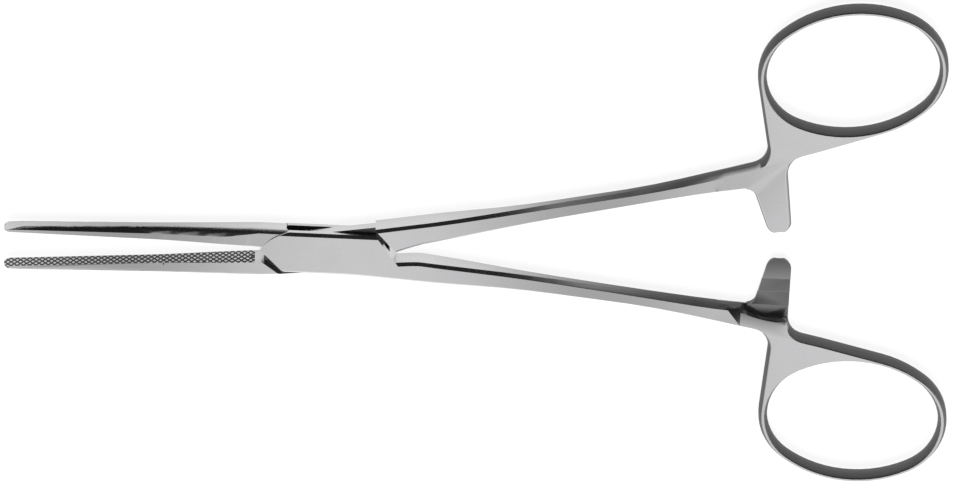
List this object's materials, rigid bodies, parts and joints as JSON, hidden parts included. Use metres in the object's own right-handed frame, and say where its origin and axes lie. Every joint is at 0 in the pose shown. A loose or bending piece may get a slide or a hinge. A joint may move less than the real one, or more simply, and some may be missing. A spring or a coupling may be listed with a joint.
{
  "type": "hemostat forceps",
  "caption": "Slender straight box-lock hemostat with cross-serrated jaws, finger rings and ratchet arms, shown a little open.",
  "frame": {"origin": "on the pivot axis, at the flat underside of the lock", "axes": "+X along the instrument towards the finger rings, +Z along the pivot axis, up from the surface it lies on"},
  "size_m": [0.159, 0.092, 0.0042],
  "materials": {
    "satin_steel": "fine satin, ground and glass-beaded stainless steel"
  },
  "bodies": {
    "box_body": {"box_half": "satin_steel", "pivot_pin": "satin_steel"},
    "tongue_body": {"tongue_half": "satin_steel"}
  },
  "joints": [
    {"name": "jaw_hinge", "type": "hinge", "parent": "box_body", "child": "tongue_body", "pos_m": [0, 0, 0.0021], "axis": [0, 0, 1], "range_deg": [-6.9, 53]}
  ]
}
